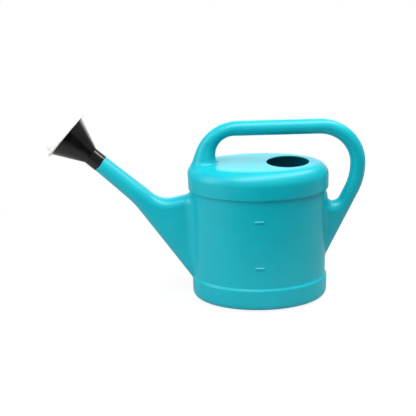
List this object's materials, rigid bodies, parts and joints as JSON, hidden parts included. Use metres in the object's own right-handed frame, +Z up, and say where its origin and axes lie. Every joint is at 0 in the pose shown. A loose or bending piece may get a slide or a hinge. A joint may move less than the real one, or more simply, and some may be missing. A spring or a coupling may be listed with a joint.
{
  "type": "watering can",
  "caption": "Blow-moulded watering can with an oval tank, a looped carrying handle, a long slanted spout and a push-on sprinkling rose with a perforated face.",
  "frame": {"origin": "centre of the tank's foot, on the surface it stands on", "axes": "+Z up, -X towards the spout and rose, +X towards the handle's rear leg; the level marks are on the -Y side"},
  "size_m": [0.6237, 0.182, 0.3876],
  "materials": {
    "can_plastic": "satin moulded polyethylene, turquoise",
    "funnel_plastic": "smooth moulded polypropylene, black",
    "face_plastic": "satin moulded polyethylene, white"
  },
  "bodies": {
    "can": {"tank_foot": "can_plastic", "tank_wall": "can_plastic", "tank_top": "can_plastic", "handle": "can_plastic", "spout": "can_plastic"},
    "funnel": {"rose_funnel": "funnel_plastic"},
    "face": {"rose_face": "face_plastic"}
  },
  "joints": [
    {"name": "rose_pull", "type": "slide", "parent": "can", "child": "funnel", "axis": [-0.7373, 0, 0.6756], "range_m": [0, 0.022]},
    {"name": "face_pull", "type": "slide", "parent": "funnel", "child": "face", "axis": [-0.7373, 0, 0.6756], "range_m": [0, 0.0065]}
  ]
}
